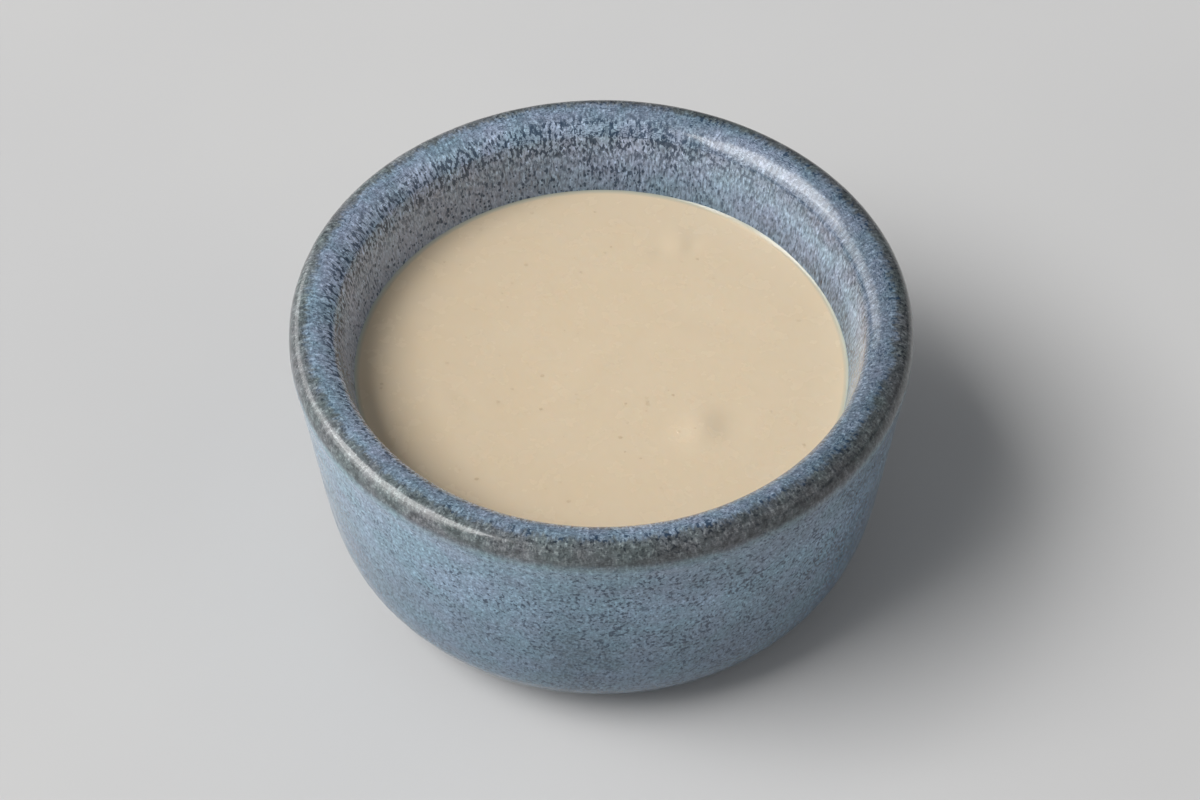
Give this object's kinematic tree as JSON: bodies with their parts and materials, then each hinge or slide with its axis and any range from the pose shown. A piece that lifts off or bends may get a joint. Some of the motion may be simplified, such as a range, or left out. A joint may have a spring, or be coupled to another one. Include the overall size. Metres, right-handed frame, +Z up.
{
  "type": "bowl of tahini",
  "caption": "Thick-rimmed round stoneware dip bowl with a speckled blue glaze, filled with smooth pale tahini to serve as a dip or sauce.",
  "frame": {"origin": "middle of the foot ring, at the height of the surface the bowl stands on", "axes": "+Z is up along the bowl's axis; -Y faces the viewer of the picture and +X is on that viewer's right"},
  "size_m": [0.095, 0.095, 0.0496],
  "materials": {
    "glaze": "glossy variegated blue reactive glaze with dark speckle, breaking to grey-brown on the rim's outer edge",
    "tahini": "smooth satin-wet pale beige sauce with tiny sesame specks"
  },
  "bodies": {
    "root": {"bowl": "glaze", "tahini": "tahini"}
  },
  "joints": []
}
